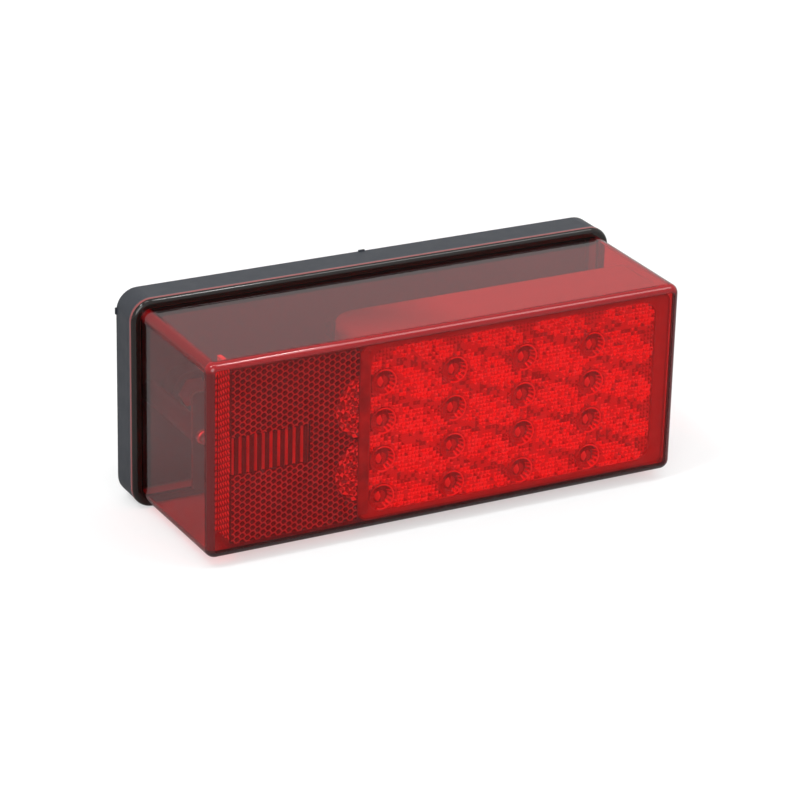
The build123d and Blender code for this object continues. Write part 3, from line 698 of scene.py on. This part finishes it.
def pillow_plate(materials):
    """Closed plate, flat behind, with rows of four-sided pillow prisms in front."""
    pitch_x = LED_PITCH_X / PILLOWS_X
    pitch_z = LED_PITCH_Z / PILLOWS_Z
    low, high = (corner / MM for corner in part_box("led_optic_plate"))
    count_x = int((high.x - low.x) / pitch_x) + 3
    count_z = int((high.z - low.z) / pitch_z) + 3
    x_start = LED_FIRST_X - pitch_x * (math.ceil((LED_FIRST_X - low.x) / pitch_x) + 0.5)
    z_start = LED_FIRST_Z - pitch_z * (math.ceil((LED_FIRST_Z - low.z) / pitch_z) + 0.5)
    y_floor = OPTIC_FRONT + PILLOW_FLOOR
    plate = bmesh.new()
    corners = [
        [plate.verts.new((x_start + pitch_x * i, y_floor, z_start + pitch_z * j))
         for j in range(count_z + 1)]
        for i in range(count_x + 1)
    ]
    for i in range(count_x):
        for j in range(count_z):
            cell = (corners[i][j], corners[i][j + 1], corners[i + 1][j + 1], corners[i + 1][j])
            middle = sum((v.co for v in cell), Vector()) / 4
            lift = PILLOW_H * (0.85 + 0.15 * math.sin(3.7 * i + 5.1 * j))
            sway = 0.3 * pitch_x * math.sin(1.9 * i + 2.6 * j)
            tip = plate.verts.new(middle + Vector((sway, -lift, 0.2 * sway)))
            scatter = scatter_of(i, j)
            tones = pillow_tones(middle.x, middle.z, scatter)
            for k in range(4):
                facet = plate.faces.new((cell[k], cell[(k + 1) % 4], tip))
                facet.material_index = tones[k]
    border = [edge for edge in plate.edges if edge.is_boundary]
    walls = bmesh.ops.extrude_edge_only(plate, edges=border)["geom"]
    for part in walls:
        if isinstance(part, bmesh.types.BMVert):
            part.co.y = OPTIC_FRONT + OPTIC_T
    bmesh.ops.holes_fill(plate, edges=[e for e in plate.edges if e.is_boundary], sides=0)
    return make_object("pillow_optics", plate, materials)


def prism_outline(points, y_front, y_back):
    """Closed prism along Y from (x, z) points."""
    solid = bmesh.new()
    front = [solid.verts.new((x, y_front, z)) for x, z in points]
    back = [solid.verts.new((x, y_back, z)) for x, z in points]
    solid.faces.new(front)
    solid.faces.new(back[::-1])
    for k in range(len(points)):
        following = (k + 1) % len(points)
        solid.faces.new((front[k], front[following], back[following], back[k]))
    return solid


def rounded_outline(low_x, high_x, low_z, high_z, radius, steps=8):
    """(x, z) points round a rectangle with round corners."""
    points = []
    corners = (
        (high_x - radius, high_z - radius, 0),
        (low_x + radius, high_z - radius, 90),
        (low_x + radius, low_z + radius, 180),
        (high_x - radius, low_z + radius, 270),
    )
    for x, z, start in corners:
        for step in range(steps + 1):
            angle = math.radians(start + 90 * step / steps)
            points.append((x + radius * math.cos(angle), z + radius * math.sin(angle)))
    return points


def circle_outline(x, z, radius, steps=48):
    return [
        (
            x + radius * math.cos(2 * math.pi * k / steps),
            z + radius * math.sin(2 * math.pi * k / steps),
        )
        for k in range(steps)
    ]


def cup_rings():
    """(radius, depth, rib height) of the rings of a bullseye, from the dome out."""
    rings = []
    for step in range(1, DOME_RINGS + 1):
        share = step / DOME_RINGS
        rings.append((DOME_R * share, DOME_TIP + (CUP_DEPTH - DOME_TIP) * share**2, 0.0))
    rings.append((CUP_FOOT_R, CUP_DEPTH, 0.0))
    rings.append((CUP_MIDDLE_R, CUP_DEPTH / 2, RIB_H))
    rings.append((CUP_TOP_R, 0.15, RIB_H / 2))
    rings.append((CUP_LAND_R, 0.0, 0.0))
    rings.append((BULLSEYE_R, 0.0, 0.0))
    rings.append((BULLSEYE_R, BULLSEYE_T, 0.0))
    return rings


def bullseye_tone(ring, segment, across, up):
    """Painted light on the right and painted shade above, with a painted highlight left of the
    middle.
    """
    foot = DOME_RINGS
    middle_and_top = (foot + 1, foot + 2)
    land_and_edge = (foot + 3, foot + 4)
    if ring < foot - 2:
        return PAINTED_LIGHT if across < -0.3 else CLEAR
    if up > 0.5 and ring <= middle_and_top[1]:
        return PAINTED_SHADE
    if ring in middle_and_top:
        return PAINTED_LIGHT if across > 0.2 and segment % 4 < 2 else CLEAR
    if ring <= foot and across > 0.5:
        return PAINTED_SHADE
    if ring in land_and_edge:
        return PAINTED_LIGHT if across > -0.4 else CLEAR
    return CLEAR


def bullseye(lens, x, z):
    """Adds one closed bullseye to a bmesh: ribbed cup in front, dome at its foot, flat back."""
    segments = 2 * RIB_COUNT
    tip = lens.verts.new((x, OPTIC_FRONT + DOME_TIP, z))
    inner = None
    for index, (radius, depth, rib) in enumerate(cup_rings()):
        outer = []
        for segment in range(segments):
            angle = 2 * math.pi * segment / segments
            reach = radius + rib * (segment % 2 - 0.5)
            across = reach * math.cos(angle)
            up = reach * math.sin(angle)
            outer.append(lens.verts.new((x + across, OPTIC_FRONT + depth, z + up)))
        for segment in range(segments):
            following = (segment + 1) % segments
            if inner:
                around = (inner[segment], outer[segment], outer[following], inner[following])
            else:
                around = (tip, outer[segment], outer[following])
            face = lens.faces.new(around)
            around_x = math.cos(2 * math.pi * (segment + 0.5) / segments)
            around_z = math.sin(2 * math.pi * (segment + 0.5) / segments)
            face.material_index = bullseye_tone(index, segment, around_x, around_z)
            face.smooth = index < DOME_RINGS
        inner = outer
    lens.faces.new(inner)


def build_led_optics(clear, bright, dark):
    """The pillow plate with the bullseyes let into it."""
    low, high = (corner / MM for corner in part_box("led_optic_plate"))
    plate = pillow_plate([clear, bright, dark])
    outline = rounded_outline(low.x, high.x, low.z, high.z, PLATE_CORNER)
    keep = make_object("plate_outline", prism_outline(outline, low.y - 1, high.y + 1))
    boolean(plate, keep, "INTERSECT")
    holes = bmesh.new()
    for x, z in led_places():
        ring = prism_outline(circle_outline(x, z, BULLSEYE_HOLE_R), low.y - 1, high.y + 1)
        join(holes, ring)
    boolean(plate, make_object("bullseye_holes", holes), "DIFFERENCE")
    finish_piece(plate, ("led_optic_plate",))
    lens = bmesh.new()
    for x, z in led_places():
        bullseye(lens, x, z)
    finish_piece(make_object("bullseye_optics", lens, [clear, bright, dark]))


def build_posts():
    """The dark frame of each LED, a waisted post that stands behind its bullseye."""
    posts = bmesh.new()
    y_front = OPTIC_FRONT + BULLSEYE_T + POST_GAP
    half = POST_W / 2
    right = [(half, -0.5), (half, -0.15), (0.6 * half, 0.0), (half, 0.2), (0.8 * half, 0.5)]
    outline = [(-half, -0.5)] + right + [(-across, up) for across, up in right[:0:-1]]
    for x, z in led_places():
        points = [(x + across, z + POST_H * up) for across, up in outline]
        solid = prism_outline(points, y_front, y_front + POST_T)
        join(posts, solid)
    paint = plastic("led_frame", (0.03, 0.02, 0.02), (0.06, 0.04, 0.04), (0.2, 0.4))
    finish_piece(make_object("led_posts", posts, [paint]))


# ---------------------------------------------------------------- materials of the nodes


def chamber_material():
    """Pale inside, darker outside, and painted shade darkens the outside further towards its
    outboard rear end.
    """
    material, tree, output = material_tree("chamber_white")
    spot = axes(tree, place(tree))
    off_centre = maths(tree, "SUBTRACT", spot["X"], CHAMBER_MIDDLE_X * MM)
    side = past(tree, off_centre, CHAMBER_HALF_X)
    above = past(tree, spot["Z"], CHAMBER_HALF_Z)
    squares = maths(
        tree, "ADD", maths(tree, "POWER", side, 2.0), maths(tree, "POWER", above, 2.0)
    )
    outside = maths(tree, "GREATER_THAN", maths(tree, "SQRT", squares), CHAMBER_ROUND * MM)
    # Painted shade: the outside is painted darker towards its outboard end and its rear, with a
    # little random drift
    along = ramp(tree, spot["X"], CHAMBER_SHADED_X * MM, CHAMBER_LIT_X * MM)
    forward = ramp(tree, spot["Y"], CHAMBER_SHADED_Y * MM, CHAMBER_LIT_Y * MM)
    painted_light = maths(tree, "MAXIMUM", along, maths(tree, "MULTIPLY", forward, CHAMBER_FORWARD_SHARE))
    painted_light = maths(tree, "ADD", painted_light, maths(tree, "MULTIPLY", noise(tree, 60.0), 0.1))
    shell = blend_colours(tree, painted_light, (0.03, 0.02, 0.02), (0.28, 0.20, 0.19))
    in_front = maths(tree, "LESS_THAN", spot["Y"], CHAMBER_RIM_Y * MM)
    rim = blend_colours(tree, noise(tree, 200.0), (0.32, 0.24, 0.24), (0.42, 0.32, 0.32))
    inside = blend_colours(tree, in_front, (0.80, 0.78, 0.74), rim)
    surface = add(
        tree,
        "ShaderNodeBsdfPrincipled",
        {
            "Base Color": blend_colours(tree, outside, inside, shell),
            "Roughness": between(tree, noise(tree, 300.0), 0.3, 0.5),
        },
    )
    tree.links.new(surface.outputs[0], output.inputs["Surface"])
    return material


def cloud_folds(material):
    """Deep red on the rounded folds of the lens, darkened by painted shade where the folds face
    down, and near black on its flange.

    Neither is seen through, as the plastic is thick there or lies on the sealant.
    """
    tree = material.node_tree
    normal = add(tree, "ShaderNodeNewGeometry").outputs["Normal"]
    size = add(tree, "ShaderNodeVectorMath", {0: normal}, operation="ABSOLUTE")
    sides = axes(tree, size.outputs[0])
    largest = maths(tree, "MAXIMUM", maths(tree, "MAXIMUM", sides["X"], sides["Z"]), sides["Y"])
    y = axes(tree, place(tree))["Y"]
    in_front = maths(tree, "LESS_THAN", y, FOLD_REAR_Y * MM)
    strength = between(tree, in_front, LONG_FOLD_SHARE, 1.0)
    round_share = ramp(tree, largest, FOLD_FLAT, FOLD_ROUND, FOLD_SHARE)
    share = maths(tree, "MULTIPLY", round_share, strength)
    on_flange = maths(tree, "GREATER_THAN", y, FLANGE_FRONT_Y * MM)
    share = maths(tree, "MAXIMUM", share, maths(tree, "MULTIPLY", on_flange, FLANGE_SHARE))
    # Painted shade: folds that face down are painted near black and folds that face up deep red
    painted_light_from_above = ramp(tree, axes(tree, normal)["Z"], -0.3, 0.6)
    red = blend_colours(tree, painted_light_from_above, (0.025, 0.006, 0.006), (0.30, 0.001, 0.004))
    on_edge = maths(tree, "GREATER_THAN", y, FLANGE_EDGE_Y * MM)
    bead = blend_colours(tree, on_edge, (0.006, 0.003, 0.002), (0.24, 0.05, 0.05))
    fold = add(
        tree,
        "ShaderNodeBsdfPrincipled",
        {
            "Base Color": blend_colours(tree, on_flange, red, bead),
            "Roughness": between(tree, noise(tree, 300.0), 0.03, 0.08),
        },
    )
    output = next(node for node in tree.nodes if node.type == "OUTPUT_MATERIAL")
    clear = output.inputs["Surface"].links[0].from_socket
    mix = add(tree, "ShaderNodeMixShader", {0: share, 1: clear, 2: fold.outputs[0]})
    tree.links.new(mix.outputs[0], output.inputs["Surface"])


def optic_materials():
    """Clear facets of the optics, and facets painted bright and dark as painted light and painted
    shade, in the order of their slots.
    """
    clear = clear_plastic("optic_clear", (0.80, 0.66, 0.66), clarity=0.75)
    bright = clear_plastic("optic_bright", (0.99, 0.96, 0.96), rough=(0.05, 0.15), clarity=0.35)
    dark = clear_plastic("optic_dark", (0.38, 0.20, 0.20), clarity=0.6)
    return clear, bright, dark


def repaint():
    """Gives every CAD node that stays its procedural material."""
    zinc = metal("zinc_plate", (0.50, 0.50, 0.47), (0.78, 0.78, 0.74))
    tin = metal("tin_plate", (0.55, 0.55, 0.55), (0.8, 0.8, 0.78), (0.2, 0.35))
    board = plastic("solder_mask", (0.02, 0.07, 0.03), (0.04, 0.11, 0.05), (0.25, 0.4))
    pale_board = plastic("white_mask", (0.60, 0.60, 0.58), (0.72, 0.72, 0.68), (0.25, 0.4))
    chip = plastic("chip_epoxy", (0.015, 0.015, 0.015), (0.04, 0.04, 0.04))
    lens = clear_plastic(
        "lens_red", (0.98, 0.14, 0.14), ior=1.36, absorb=((0.985, 0.0, 0.0), 260.0)
    )
    cloud_folds(lens)
    slate = plastic("housing_slate", (0.012, 0.015, 0.022), (0.020, 0.024, 0.033), (0.45, 0.6))
    red_epoxy = plastic("led_epoxy", (0.80, 0.35, 0.30), (0.92, 0.50, 0.45), (0.04, 0.1))
    painted = {
        "rear_housing": slate,
        "outer_lens": lens,
        "sealant_bead": plastic("sealant", (0.01, 0.01, 0.01), (0.03, 0.03, 0.03), (0.3, 0.5)),
        "license_window": clear_plastic("window_clear", (0.95, 0.95, 0.96), ior=1.4),
        "led_chamber": chamber_material(),
        "main_led_board": pale_board,
        "main_leds": red_epoxy,
        "led_legs": tin,
        "board_resistors": chip,
        "board_diodes": chip,
        "board_screws": zinc,
        "main_board_screws": zinc,
        "marker_board": board,
        "marker_leds": red_epoxy,
        "license_board": board,
        "license_leds": plastic("led_phosphor", (0.8, 0.75, 0.4), (0.9, 0.85, 0.55), (0.2, 0.3)),
        "mounting_studs": zinc,
        "lock_washer_left": zinc,
        "lock_washer_right": zinc,
        "nut_left": zinc,
        "nut_right": zinc,
        "lead_boot": plastic("boot_rubber", (0.012, 0.012, 0.013), (0.03, 0.03, 0.03), (0.5, 0.7)),
        "lead_white": plastic("wire_white", (0.70, 0.70, 0.68), (0.82, 0.82, 0.8), (0.3, 0.45)),
        "lead_brown": plastic("wire_brown", (0.13, 0.05, 0.02), (0.2, 0.08, 0.035), (0.3, 0.45)),
        "lead_yellow": plastic("wire_yellow", (0.7, 0.5, 0.03), (0.82, 0.6, 0.06), (0.3, 0.45)),
        "lead_cores": metal("copper_strands", (0.6, 0.32, 0.2), (0.85, 0.55, 0.4)),
        "jumper_wires": plastic("wire_red", (0.45, 0.02, 0.02), (0.6, 0.04, 0.04), (0.3, 0.45)),
        "potting_plug": plastic("resin", (0.02, 0.02, 0.02), (0.04, 0.04, 0.04), (0.15, 0.3)),
    }
    for name, material in painted.items():
        data = nodes[name].data
        data.materials.clear()
        data.materials.append(material)


# ---------------------------------------------------------------- stage


def build_world():
    """Soft white studio light from all round, with a few brighter soft boxes."""
    world = bpy.data.worlds.new("studio")
    bpy.context.scene.world = world
    world.use_nodes = True
    tree = world.node_tree
    tree.nodes.clear()
    output = tree.nodes.new("ShaderNodeOutputWorld")
    ray = add(tree, "ShaderNodeTexCoord").outputs["Generated"]
    level = STUDIO_LEVEL
    for direction, inner, outer, strength in SOFT_BOXES:
        aim = Vector(direction).normalized()
        facing = add(tree, "ShaderNodeVectorMath", {0: ray, 1: aim})
        facing.operation = "DOT_PRODUCT"
        box = add(
            tree,
            "ShaderNodeMapRange",
            {
                "Value": facing.outputs["Value"],
                "From Min": math.cos(math.radians(outer)),
                "From Max": math.cos(math.radians(inner)),
                "To Min": 0.0,
                "To Max": strength,
            },
        )
        level = maths(tree, "ADD", level, box.outputs["Result"])
    sky = add(tree, "ShaderNodeBackground", {"Color": (1.0, 1.0, 1.0, 1.0), "Strength": level})
    tree.links.new(sky.outputs[0], output.inputs["Surface"])


def build_glints():
    """Small lamps close by, which only the corners of the lens and its flange mirror."""
    for index, (spot, normal, size, radiance) in enumerate(GLINTS):
        spot = Vector(spot) * MM
        back = camera_back()
        half = Vector(normal).normalized()
        towards = 2 * half.dot(back) * half - back
        data = bpy.data.lights.new(f"glint_{index}", "AREA")
        data.shape = "RECTANGLE"
        data.size = GLINT_DEPTH
        data.size_y = size
        data.energy = radiance * math.pi * size * GLINT_DEPTH
        lamp = bpy.data.objects.new(f"glint_{index}", data)
        lamp.location = spot + towards * GLINT_REACH
        lamp.rotation_euler = towards.to_track_quat("Z", "Y").to_euler()
        lamp.visible_camera = False
        bpy.context.scene.collection.objects.link(lamp)


def camera_back():
    """The way from the lamp to the camera."""
    azimuth = math.radians(CAMERA_AZIMUTH)
    elevation = math.radians(CAMERA_ELEVATION)
    across = math.cos(elevation)
    return Vector(
        (math.sin(azimuth) * across, -math.cos(azimuth) * across, math.sin(elevation))
    )


def build_floor():
    """Pale floor that can be seen through from below, darker for rays that mirror or bounce from
    it, and with painted shade where it is seen through the lamp.
    """
    size = FLOOR_HALF
    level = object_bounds()[0].z - FLOOR_GAP
    mesh = bpy.data.meshes.new("floor")
    corners = [(-size, -size), (size, -size), (size, size), (-size, size)]
    mesh.from_pydata([(x, y, level) for x, y in corners], [], [(0, 1, 2, 3)])
    floor = bpy.data.objects.new("floor", mesh)
    bpy.context.scene.collection.objects.link(floor)
    material, tree, output = material_tree("floor_white")
    seen = add(tree, "ShaderNodeLightPath").outputs["Is Camera Ray"]
    through = add(tree, "ShaderNodeLightPath").outputs["Is Transmission Ray"]
    # Painted shade: seen through the lamp the floor is darker, standing in for the shade under the
    # lamp; rays that mirror or bounce from it also see it darker
    unseen = add(tree, "ShaderNodeMixRGB", {0: through, 1: FLOOR_MIRRORED, 2: FLOOR_THROUGH_SHADED})
    paint = add(tree, "ShaderNodeMixRGB", {0: seen, 1: unseen.outputs[0], 2: FLOOR_SEEN})
    matte = add(tree, "ShaderNodeBsdfDiffuse", {"Color": paint.outputs[0]})
    glow = add(tree, "ShaderNodeEmission", {"Color": (1.0, 1.0, 1.0, 1.0), "Strength": 1.0})
    lit = maths(tree, "MULTIPLY", seen, FLOOR_GLOW)
    matte = add(tree, "ShaderNodeMixShader", {0: lit, 1: matte.outputs[0], 2: glow.outputs[0]})
    nothing = add(tree, "ShaderNodeBsdfTransparent")
    behind = add(tree, "ShaderNodeNewGeometry").outputs["Backfacing"]
    mix = add(
        tree, "ShaderNodeMixShader", {0: behind, 1: matte.outputs[0], 2: nothing.outputs[0]}
    )
    tree.links.new(mix.outputs[0], output.inputs["Surface"])
    mesh.materials.append(material)


def build_camera():
    """Camera in front of the lamp, above it and to its outboard side."""
    back = camera_back()
    data = bpy.data.cameras.new("camera")
    data.lens = CAMERA_LENS
    data.sensor_width = 36.0
    camera = bpy.data.objects.new("camera", data)
    bpy.context.scene.collection.objects.link(camera)
    turn = (-back).to_track_quat("-Z", "Y").to_matrix().to_4x4()
    roll = Matrix.Rotation(math.radians(CAMERA_ROLL), 4, "Z")
    camera.matrix_world = Matrix.Translation(CAMERA_TARGET + back * CAMERA_DISTANCE) @ turn @ roll
    bpy.context.scene.camera = camera


repaint()
build_reflex()
build_marker_window()
build_rim_ribs()
optic_clear, optic_bright, optic_dark = optic_materials()
build_clearance(optic_bright, optic_dark)
build_led_optics(optic_clear, optic_bright, optic_dark)
build_posts()
build_world()
build_glints()
build_floor()
build_camera()
bpy.context.scene.view_settings.view_transform = "Standard"
